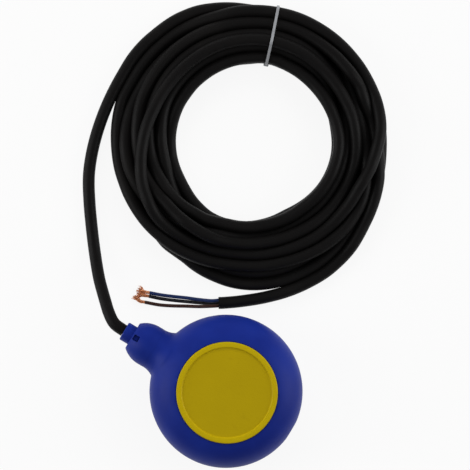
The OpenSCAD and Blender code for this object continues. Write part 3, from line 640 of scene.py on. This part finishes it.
# %% Copper finish
def metal_finish(name, dark, pale, rough, blotch=0.002, metal=1.0):
    finish = Finish(name, Metallic=metal)
    cloud = finish.noise(blotch, detail=4.0, roughness=0.6)
    grain = finish.noise(0.0004, detail=3.0)
    colour = finish.mix(cloud.step(0.3, 0.7), dark, pale)
    relief = finish.bump(grain, 0.00003, 0.6)
    return finish.use(Base_Color=colour, Roughness=rough + cloud * 0.12 + grain * 0.08, Normal=relief)


bare_copper = metal_finish("bare_copper", tone(216, 132, 80), tone(242, 176, 128), 0.36, metal=0.6)


# %% Strand bundle tree
GOLDEN_ANGLE = 2.39996


def strand_tree():
    """Geometry Nodes: helical wires round a path, opening towards its end."""
    tree = bpy.data.node_groups.new("strand_bundle", "GeometryNodeTree")
    sockets = {"Path": "Geometry", "Bundle Radius": "Float", "Spread": "Float", "Wire Radius": "Float",
               "Turns": "Float", "Wires": "Int", "Seed": "Int", "Metal": "Material"}
    for title, kind in sockets.items():
        tree.interface.new_socket(title, in_out="INPUT", socket_type="NodeSocket" + kind)
    tree.interface.new_socket("Geometry", in_out="OUTPUT", socket_type="NodeSocketGeometry")
    grow = Graph(tree)
    path = grow.node("NodeGroupInput")
    given = {title: path.other(title) for title in sockets}

    # As many copies of the path as there are wires, each with its number.
    copies = grow.node("GeometryNodeDuplicateElements", {"Geometry": path, "Amount": given["Wires"]},
                       "Geometry", domain="SPLINE")
    values = {"Geometry": copies, "Name": "wire", "Value": copies.other("Duplicate Index")}
    numbered = grow.node("GeometryNodeStoreNamedAttribute", values, data_type="FLOAT", domain="CURVE")
    share = grow.node("GeometryNodeSplineParameter", out="Factor")
    wire = grow.node("GeometryNodeInputNamedAttribute", {"Name": "wire"}, "Attribute", data_type="FLOAT")

    # Each wire gets a place in the bundle, which turns along the path and moves outwards near its end.
    angle = wire * GOLDEN_ANGLE + share * given["Turns"] * math.tau
    out = ((wire + 0.4) / given["Wires"]).math("SQRT")
    reach = out * (given["Bundle Radius"] + given["Spread"] * share ** 2.2)
    ahead = grow.node("GeometryNodeInputTangent")
    across = ahead.vector("CROSS_PRODUCT", (0, 0, 1))
    above = across.vector("CROSS_PRODUCT", ahead)
    to_side = across.vector("SCALE", scale=reach * angle.math("COSINE"))
    to_top = above.vector("SCALE", scale=reach * angle.math("SINE"))
    values = {"Min": (-1, -1, -0.4), "Max": (1, 1, 0.4), "ID": wire, "Seed": given["Seed"]}
    fray = grow.node("FunctionNodeRandomValue", values, data_type="FLOAT_VECTOR")
    loose = fray.vector("SCALE", scale=given["Spread"] * share ** 3.0)
    offset = to_side.vector("ADD", to_top).vector("ADD", loose)
    moved = grow.node("GeometryNodeSetPosition", {"Geometry": numbered, "Offset": offset})

    # No wire lies lower than the table.
    split = grow.node("ShaderNodeSeparateXYZ", {0: grow.node("GeometryNodeInputPosition")})
    height = split.math("MAXIMUM", split.other(2), given["Wire Radius"])
    lying = grow.node("ShaderNodeCombineXYZ", {0: split, 1: split.other(1), 2: height})
    rested = grow.node("GeometryNodeSetPosition", {"Geometry": moved, "Position": lying})

    ring = grow.node("GeometryNodeCurvePrimitiveCircle", {"Resolution": 8, "Radius": given["Wire Radius"]})
    values = {"Curve": rested, "Profile Curve": ring, "Fill Caps": True}
    swept = grow.node("GeometryNodeCurveToMesh", values)
    real = grow.node("GeometryNodeRealizeInstances", {"Geometry": swept})
    coloured = grow.node("GeometryNodeSetMaterial", {"Geometry": real, "Material": given["Metal"]})
    grow.feed(tree.nodes.new("NodeGroupOutput"), {"Geometry": coloured})
    return tree


def grown(name, points, tree, **inputs):
    """Runs a tree on a poly curve through points and returns the plain mesh object."""
    curve = bpy.data.curves.new(name + "_path", "CURVE")
    curve.dimensions = "3D"
    spline = curve.splines.new("POLY")
    spline.points.add(len(points) - 1)
    for point, place in zip(spline.points, points):
        point.co = (*map(float, place), 1.0)
    holder = linked(name + "_path", curve)
    modifier = holder.modifiers.new("grow", "NODES")
    modifier.node_group = tree
    sockets = {item.name: item.identifier for item in tree.interface.items_tree
               if item.item_type == "SOCKET" and item.in_out == "INPUT"}
    for key, value in inputs.items():
        modifier[sockets[key.replace("_", " ")]] = value
    bpy.context.view_layer.update()
    graph = bpy.context.evaluated_depsgraph_get()
    mesh = bpy.data.meshes.new_from_object(holder.evaluated_get(graph), depsgraph=graph)
    mesh.name = name
    mesh.shade_smooth()
    bpy.data.objects.remove(holder)
    return linked(name, mesh)


bundle = strand_tree()
strands = {}
for seed, (colour, points) in enumerate(BARE_ENDS.items()):
    path = smooth_curve(CORES[colour][-1:] + points, 0.35) * MM
    strands[colour] = grown("copper_" + colour, path, bundle, Bundle_Radius=0.00085, Spread=0.0013,
                            Wire_Radius=0.0002, Turns=0.6, Wires=28, Seed=11 + seed, Metal=bare_copper)
    print(colour, "copper faces:", len(strands[colour].data.polygons))

# %% [markdown]
# ## Float plastics
# The two shells and the collar are moulded from a satin blue plastic, the caps from a yellow one. Moulded
# plastic isn't one flat colour: the pigment flows in slow clouds, the tool leaves a fine grain that breaks
# up the gloss, and handling adds faint rubbed patches and a few short scuffs. Noise in three sizes gives
# the clouds, the grain and the rubbing, and a stretched noise that is cut off high gives the scuffs.

# %% Moulded plastic
def moulded(name, colour, cloudy, rough, grain=0.0006, grain_depth=0.00002, gloss=0.5, cloud=0.03):
    finish = Finish(name, IOR=1.5, Specular_IOR_Level=gloss)
    clouds = finish.noise(cloud, detail=4.0, roughness=0.55)
    speckle = finish.noise(grain, detail=2.0)
    rubbed = finish.noise(0.014, detail=5.0, roughness=0.65).step(0.55, 0.8)
    turned = finish.node("ShaderNodeMapping", {
        "Vector": finish.spot(), "Rotation": (0.2, 0.1, 0.7), "Scale": (1.0, 0.05, 1.0)})
    scuffs = finish.noise(0.0011, turned, detail=3.0).step(0.7, 0.78) * rubbed
    base = finish.mix(clouds.step(0.3, 0.72) * 0.85, colour, cloudy)
    relief = finish.bump(speckle, grain_depth, 0.7)
    relief = finish.bump(scuffs, 0.00002, 0.5, relief)
    return finish.use(Base_Color=base, Normal=relief,
                      Roughness=rough + clouds * 0.06 + rubbed * 0.07 + scuffs * 0.12)


blue_plastic = moulded("blue_plastic", tone(19, 39, 130), tone(24, 47, 144), 0.44, gloss=0.14)

# %% [markdown]
# ## Stippled yellow
# The middle of a cap is sunk and finely stippled, while its raised rim is smooth. The rim's colour is
# painted a little lighter than the field's, as painted light, though it is the same plastic.
# One material does both: the distance from the cap's own axis, worked out from Object coordinates, says
# where the sunk field ends, and the stipple fades out there. The stipple is a cell pattern under a Bump.

# %% Yellow cap finish
FIELD_R = 0.0288
yellow = Finish("yellow_plastic", IOR=1.5, Specular_IOR_Level=0.15)
across = yellow.node("ShaderNodeSeparateXYZ", {"Vector": yellow.spot()})
flat_x, flat_y = across, across.other(1)
from_axis = (flat_x * flat_x + flat_y * flat_y) ** 0.5
in_field = 1 - from_axis.step(FIELD_R - 0.0006, FIELD_R + 0.0002)
cells = yellow.node("ShaderNodeTexVoronoi", {"Vector": yellow.spot(), "Scale": 1100.0, "Smoothness": 0.6},
                    feature="SMOOTH_F1")
clouds = yellow.noise(0.022, detail=4.0)
smears = yellow.noise(0.006, detail=5.0, roughness=0.7).step(0.55, 0.85)
field_colour = yellow.mix(clouds, tone(180, 155, 0), tone(189, 163, 2))
# Painted light: the rim is the same yellow plastic as the field, painted a little lighter.
rim_colour_painted_lighter = yellow.mix(clouds, tone(194, 169, 2), tone(202, 176, 7))
stained = yellow.mix(smears * 0.35, yellow.mix(in_field, rim_colour_painted_lighter, field_colour), tone(150, 124, 8))
stipple = yellow.bump(cells * in_field, 0.00012, 0.55)
yellow_plastic = yellow.use(Base_Color=stained, Roughness=0.42 + in_field * 0.14 + smears * 0.08,
                            Normal=yellow.bump(yellow.noise(0.0007), 0.00001, 0.5, stipple))

# %% [markdown]
# ## Finishes inside the float
# Nobody sees the switch until the float is opened, but the part carries it, and so each piece gets its
# own finish: white box plastic, dark switch case, grey rubber, red plunger, plated and polished steel,
# brass terminals with tinned tags. The helpers above make them all from two tables of colours and sizes.

# %% Inner finishes
MOULDED = {
    "white_plastic": (tone(206, 205, 198), tone(218, 217, 211), 0.42, 0.0006, 0.00002, 0.4, 0.02),
    "dark_plastic": (tone(30, 31, 34), tone(40, 41, 44), 0.45, 0.0006, 0.00002, 0.45, 0.008),
    "red_plastic": (tone(150, 22, 20), tone(168, 32, 26), 0.36, 0.0006, 0.00002, 0.45, 0.004),
    "grey_rubber": (tone(92, 94, 96), tone(106, 108, 110), 0.68, 0.0004, 0.00003, 0.3, 0.01),
    "tie_plastic": (tone(150, 152, 156), tone(168, 170, 173), 0.40, 0.0008, 0.00002, 0.45, 0.01),
}
METALS = {
    "plated_steel": (tone(168, 170, 172), tone(196, 197, 198), 0.26, 0.003),
    "polished_steel": (tone(188, 190, 193), tone(206, 208, 210), 0.08, 0.006),
    "brass": (tone(190, 152, 84), tone(212, 176, 106), 0.26, 0.003),
    "tinned_brass": (tone(176, 176, 172), tone(198, 198, 194), 0.30, 0.002),
}
# Blender adds .001 to a name that the CAD model's own materials already have.
FINISHES = {finish.name.split(".")[0]: finish for finish in (
    blue_plastic, yellow_plastic, black_sheath, bare_copper, *insulation.values())}
FINISHES.update({name: moulded(name, *values) for name, values in MOULDED.items()})
FINISHES.update({name: metal_finish(name, *values) for name, values in METALS.items()})
print("finishes:", len(FINISHES))

# %% [markdown]
# ## The strap round the coil
# A thin grey-white cable tie holds the turns together. It is pulled tight, so its shape isn't a rounded
# box but the outline of what it holds: the strands are cut by the plane of the tie, each cut is a circle,
# and the strap follows the convex hull of all of them. A small head locks it at the inner side.

# %% Strap (millimetres)
TIE_W, TIE_T, TIE_GAP = 1.8, 1.0, 0.02
ROUND_POINTS, LOOP_POINTS = 28, 121
HEAD_DEEP, HEAD_WIDE, HEAD_HIGH, HEAD_BEVEL = 1.7, 3.2, 4.6, 0.45
# The strap's own section, as shares of its width and thickness.
SECTION = [(-0.5, -0.25), (-0.42, -0.5), (0.42, -0.5), (0.5, -0.25), (0.5, 0.25), (0.38, 0.5),
           (-0.38, 0.5), (-0.5, 0.25)]


def convex(points):
    """The points of the convex hull, going round once."""
    ordered = sorted(set(map(tuple, points)))

    def half(some):
        chain = []
        for p in some:
            while len(chain) > 1 and ((chain[-1][0] - chain[-2][0]) * (p[1] - chain[-2][1])
                                      - (chain[-1][1] - chain[-2][1]) * (p[0] - chain[-2][0])) <= 0:
                chain.pop()
            chain.append(p)
        return chain[:-1]
    return half(ordered) + half(ordered[::-1])


tie_out = np.array((math.cos(math.radians(TIE_DEG)), math.sin(math.radians(TIE_DEG))))
tie_side = np.array((-tie_out[1], tie_out[0]))
flat = route[:, :2] / MM - COIL
beside, outward = flat @ tie_side, flat @ tie_out
cuts = []
for i in np.nonzero((np.sign(beside[:-1]) != np.sign(beside[1:])) & (outward[:-1] > 0))[0]:
    share = beside[i] / (beside[i] - beside[i + 1])
    cuts.append((outward[i] + share * (outward[i + 1] - outward[i]),
                 (route[i, 2] + share * (route[i + 1, 2] - route[i, 2])) / MM))
around = np.linspace(0, 2 * math.pi, ROUND_POINTS, endpoint=False)
grip = CABLE_D / 2 + TIE_T / 2 + TIE_GAP
circles = [(r + grip * math.cos(a), max(z + grip * math.sin(a), TIE_T / 2)) for r, z in cuts for a in around]
hull = convex([(round(float(r), 4), round(float(z), 4)) for r, z in circles])
hull = np.array(hull + hull[:1])
run = run_along(hull)
at = np.linspace(0, run[-1], LOOP_POINTS)[:-1]
loop = np.column_stack([np.interp(at, run, hull[:, k]) for k in (0, 1)])
ahead = np.roll(loop, -1, 0) - np.roll(loop, 1, 0)
ahead /= sizes(ahead)
outside = np.column_stack((ahead[:, 1], -ahead[:, 0]))
strap_points = []
for (r, z), (out_r, out_z) in zip(loop, outside):
    for wide, thick in SECTION:
        along = r + out_r * thick * TIE_T
        ground = COIL + tie_out * along + tie_side * wide * TIE_W
        strap_points.append((ground[0] * MM, ground[1] * MM, max(z + out_z * thick * TIE_T, 0.0) * MM))
strap_faces = ring_faces(len(loop), len(SECTION), closed=True, turned_over=True)
strap = make_piece("tie_strap", strap_points, strap_faces, FINISHES["tie_plastic"], 50.0)

# The head: a small block with a bevel, on the inner side of the bundle.
inner = loop[np.argmin(loop[:, 0] + 0.02 * np.abs(loop[:, 1] - 8))]
head_mid = COIL + tie_out * (inner[0] - 0.3)
block = bmesh.new()
bmesh.ops.create_cube(block, size=1.0)
for corner in block.verts:
    x, y, z = corner.co
    ground = head_mid + tie_out * x * HEAD_DEEP + tie_side * y * HEAD_WIDE
    corner.co = (ground[0] * MM, ground[1] * MM, (max(inner[1], 3.0) + z * HEAD_HIGH) * MM)
bmesh.ops.recalc_face_normals(block, faces=block.faces)
bmesh.ops.bevel(block, geom=list(block.edges), offset=HEAD_BEVEL * MM, segments=3, affect="EDGES",
                profile=0.5)
head_mesh = bpy.data.meshes.new("tie_head")
block.to_mesh(head_mesh)
block.free()
head_mesh.materials.append(FINISHES["tie_plastic"])
head_mesh.shade_smooth()
tie_head = linked("tie_head", head_mesh)
for piece in (strap, tie_head):
    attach(piece, "float")
    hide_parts("coil_tie")
print("strands in the tie:", len(cuts), "bundle", np.ptp(loop, axis=0).round(1).tolist(), "mm")

# %% [markdown]
# ## The cords join the float
# The cable, the cores and the bare copper are attached to the float's body. The cable leaves the collar
# of the neck, and the cores leave the end of the sheath. The CAD pieces that stood in for them are hidden.

for colour, (core, path) in cores.items():
    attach(strands[colour], "float")
    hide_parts("strands_" + colour)
    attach(core, "float")
    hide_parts("core_" + colour)
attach(cable, "float")
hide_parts("cable_lead", "cable_coil", "cable_tail")

# %% [markdown]
# ## Round off the machined look
# A CAD solid comes as loose flat triangles, so it shows every facet and has knife edges. For each solid
# whose shape is right, a copy is merged into one closed skin, its flat faces are joined again, and a small
# bevel rounds the edges, because moulded plastic and stamped metal catch a line of light there.

# %% Skins of the CAD solids
SMOOTH_DEG = 32.0
MERGE_M, FLAT_DEG = 0.000002, 0.6


def skin(node, finish, round_mm):
    """A merged, rounded and smooth copy of a CAD node that stands for it."""
    source = frame["nodes"][node]
    work = bmesh.new()
    work.from_mesh(source.data)
    bmesh.ops.remove_doubles(work, verts=work.verts, dist=MERGE_M)
    bmesh.ops.dissolve_limit(work, angle_limit=math.radians(FLAT_DEG), verts=work.verts, edges=work.edges)
    mesh = bpy.data.meshes.new(node + "_skin")
    work.to_mesh(mesh)
    work.free()
    mesh.materials.clear()
    mesh.materials.append(finish)
    mesh.shade_smooth()
    mesh.set_sharp_from_angle(angle=math.radians(SMOOTH_DEG))
    piece = linked(node + "_skin", mesh)
    if round_mm:
        bevel = piece.modifiers.new("round", "BEVEL")
        bevel.width, bevel.segments, bevel.limit_method = round_mm * MM, 2, "ANGLE"
        bevel.angle_limit, bevel.harden_normals = math.radians(SMOOTH_DEG), True
        bevel.use_clamp_overlap = True
    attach(piece, source.parent.name.split(":", 1)[1])
    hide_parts(node)
    return piece


slot_of = {node: thing.material_slots[0].name for node, thing in frame["nodes"].items()}
# How far the edges are rounded, in millimetres, and the nodes that other pieces stand for.
ROUNDING = {"shell_lower": 0.25, "shell_upper": 0.25, "gland_collar": 0.3, "switch_box": 0.2, "box_lid": 0.25,
            "switch_case": 0.2, "switch_cover": 0.2, "cord_grip": 0.2, "ball_track": 0.15}
DONE = {"cable_lead", "cable_coil", "cable_tail", "coil_tie", "cap_upper", "cap_lower"}
DONE |= {kind + colour for kind in ("core_", "strands_") for colour in CORES}
for node in sorted(frame["nodes"]):
    if node not in DONE:
        skin(node, FINISHES[slot_of[node]], ROUNDING.get(node, 0.0))

# %% [markdown]
# ## The soft hollow between neck and disc
# On the real float the neck flows into the disc, because the mould has a rounding there that is wide on
# the two faces and fades away towards the parting line. The CAD solids meet in a plain crease. The
# rounding is laid over it: at each point of the crease one edge lies on the disc and one on the neck, and
# a curve that leaves both surfaces without a kink joins them. Two simple distance formulas, one for the
# disc and one for the neck, say where the surfaces are, and where the curve would dip under one of them it
# is pushed out again.

# %% Where the disc and the neck are (millimetres)
MID_Z = FLOAT_MIDDLE_Z / MM
# The disc's rim is an arc of EDGE_R about EDGE_CENTRE, with half a straight band at its widest place. The
# neck is hollow by an arc of COVE_R, whose centre lies COVE_AXIS off the neck's axis and COVE_U along it.
EDGE_CENTRE, EDGE_R, BAND = 28.0, 22.0, 1.6
COVE_R, COVE_AXIS, COVE_U, ROOT_R = 14.2, 28.1, 55.0, 17.5


def off_disc(p):
    r, z = math.hypot(p[0], p[1]), max(abs(p[2] - MID_Z) - BAND, 0.0)
    return math.hypot(max(r - EDGE_CENTRE, 0.0), z) - EDGE_R


def neck_radius(u):
    return min(COVE_AXIS - math.sqrt(max(COVE_R ** 2 - (COVE_U - u) ** 2, 0.0)), ROOT_R)


def off_neck(p):
    return math.hypot(p[1], p[2] - MID_Z) - neck_radius(min(-p[0], COVE_U))


def slope(distance, p, h=0.01):
    steep = np.array([distance(p + h * axis) - distance(p - h * axis) for axis in np.eye(3)])
    return steep / np.linalg.norm(steep)


def onto(distance, p):
    for _ in range(6):
        p = p - slope(distance, p) * distance(p)
    return p


def crease_point(turn):
    """The place where the neck runs into the disc, turn radians round the neck from its side."""
    low, high = 30.0, 54.0
    for _ in range(40):
        u = (low + high) / 2
        p = np.array((-u, neck_radius(u) * math.cos(turn), MID_Z + neck_radius(u) * math.sin(turn)))
        low, high = (u, high) if off_disc(p) < 0 else (low, u)
    return p


# %% Lay the rounding over the crease
FLOW_STEPS, FLOW_PARTS, FLOW_LIFT = 72, 15, 0.03
# Its reach at the sides, how much wider it gets above, and what more it gets on the neck.
FLOW_LEAST, FLOW_WIDE, FLOW_NECK = 0.25, 5.6, 3.2
FLOW_PULL, FLOW_PROUD, FLOW_DEEP, FLOW_ROOT = 0.62, 0.015, 0.2, 0.35


def landing(distance, p, along, reach, way):
    """Where the curve leaves a surface: that point, its pull, a point below it and the slope at p."""
    straight = slope(distance, p)
    towards = np.cross(along, straight)
    towards *= way * np.sign(towards[0])
    end = onto(distance, p + towards * reach)
    pull = np.cross(along, slope(distance, end))
    pull *= -np.sign(pull.dot(towards)) * reach * FLOW_PULL
    end = end + slope(distance, end) * FLOW_PROUD
    return end, end + pull, end - slope(distance, end) * FLOW_DEEP, straight


def neck_rounding(name, up):
    """A closed strip along half of the crease, above (up = 1) or below (up = -1) the parting plane."""
    turns = np.linspace(0.03, math.pi - 0.03, FLOW_STEPS + 1) * up
    line = [crease_point(t) for t in turns]
    rows = []
    for i, p in enumerate(line):
        along = line[min(i + 1, FLOW_STEPS)] - line[max(i - 1, 0)]
        along /= np.linalg.norm(along)
        above = abs(math.sin(turns[i]))
        wide = FLOW_LEAST + FLOW_WIDE * ease(above ** 1.3)
        reach = wide + FLOW_NECK * ease(above ** 6)
        a, pull_a, sunk_a, on_disc = landing(off_disc, p, along, wide, 1)
        b, pull_b, sunk_b, on_neck = landing(off_neck, p, along, reach, -1)
        t = np.linspace(0, 1, FLOW_PARTS)[:, None]
        curve = (a * (1 - t) ** 3 + pull_a * 3 * t * (1 - t) ** 2
                 + pull_b * 3 * t ** 2 * (1 - t) + b * t ** 3)
        for _ in range(4):
            curve[2:-2] = (curve[1:-3] + curve[2:-2] * 2 + curve[3:-1]) / 4
            for j in range(1, FLOW_PARTS - 1):
                near = min((off_disc, off_neck), key=lambda distance: distance(curve[j]))
                curve[j] += slope(near, curve[j]) * max(FLOW_LIFT - near(curve[j]), 0.0)
        under = p - (on_disc + on_neck) * FLOW_ROOT
        rows.append(np.vstack((curve, sunk_b, under, sunk_a)))
    size = FLOW_PARTS + 3
    faces = ring_faces(len(rows), size)
    faces += [tuple(range(size))[::-1], tuple(FLOW_STEPS * size + j for j in range(size))]
    piece = make_piece(name, np.vstack(rows) * MM, faces, blue_plastic, 45.0)
    work = bmesh.new()
    work.from_mesh(piece.data)
    bmesh.ops.recalc_face_normals(work, faces=work.faces)
    work.to_mesh(piece.data)
    work.free()
    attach(piece, "float")


neck_rounding("neck_rounding_upper", 1)
neck_rounding("neck_rounding_lower", -1)
side_x, top_x = (round(float(crease_point(turn)[0]), 1) for turn in (0.0, math.pi / 2))
print("crease from x", side_x, "at the side to", top_x, "on top")

# %% [markdown]
# ## Yellow caps
# A cap is a turned shape: raised rim, sunk field, and underneath a snap ring that holds it in the shell.
# It could be a bevelled cylinder, but the roundings of the rim make its look, so its half section is
# written point by point and turned round the axis. The lower cap is the same shape, turned over.

# %% Turned caps
CAP_R, CAP_RIM, CAP_TOP, CAP_UNDER, CAP_FLOOR = 32.9, 3.6, 48.0, 44.8, 47.1
SNAP_IN, SNAP_OUT, SNAP_LOW = 25.0, 26.6, 43.6


def rounding(centre, radius, start, end, steps=5):
    """Points on an arc of a half section, in degrees from the outward direction."""
    turns = np.radians(np.linspace(start, end, steps))
    return [(centre[0] + radius * math.cos(t), centre[1] + radius * math.sin(t)) for t in turns]


def turned(name, section, finish, sides=128):
    """A closed shape from a half section that starts and ends on the axis."""
    inner = section[1:-1]
    angles = np.linspace(0, 2 * math.pi, sides, endpoint=False)
    vertices = [(r * math.cos(a) * MM, r * math.sin(a) * MM, z * MM) for r, z in inner for a in angles]
    poles = [len(vertices), len(vertices) + 1]
    vertices += [(0, 0, section[0][1] * MM), (0, 0, section[-1][1] * MM)]
    faces = []
    for j in range(sides):
        k = (j + 1) % sides
        faces.append((poles[0], j, k))
        for i in range(len(inner) - 1):
            faces.append((i * sides + j, (i + 1) * sides + j, (i + 1) * sides + k, i * sides + k))
        faces.append((poles[1], (len(inner) - 1) * sides + k, (len(inner) - 1) * sides + j))
    return make_piece(name, vertices, faces, finish, 38.0)


rim_in = CAP_R - CAP_RIM
cap_section = [(0, CAP_FLOOR), (14, CAP_FLOOR), (27, CAP_FLOOR), (rim_in - 0.35, CAP_FLOOR)]
cap_section += rounding((rim_in - 0.35, CAP_FLOOR + 0.3), 0.3, -80, -10, 4)
cap_section += rounding((rim_in + 0.5, CAP_TOP - 0.5), 0.5, 170, 90, 5)
cap_section += rounding((CAP_R - 0.7, CAP_TOP - 0.7), 0.7, 90, 0, 6)
cap_section += [(CAP_R, 45.2), (CAP_R - 0.3, CAP_UNDER), (SNAP_OUT, CAP_UNDER), (SNAP_OUT, 43.9),
                (26.3, SNAP_LOW), (25.2, SNAP_LOW), (SNAP_IN, 43.8), (SNAP_IN, CAP_UNDER), (0, CAP_UNDER)]
cap_upper = turned("cap_upper_disc", cap_section, yellow_plastic)
cap_lower = turned("cap_lower_disc", [(r, CAP_TOP - z) for r, z in reversed(cap_section)], yellow_plastic)
for piece, node in ((cap_upper, "cap_upper"), (cap_lower, "cap_lower")):
    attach(piece, "float")
    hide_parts(node)
print("cap faces:", len(cap_upper.data.polygons))
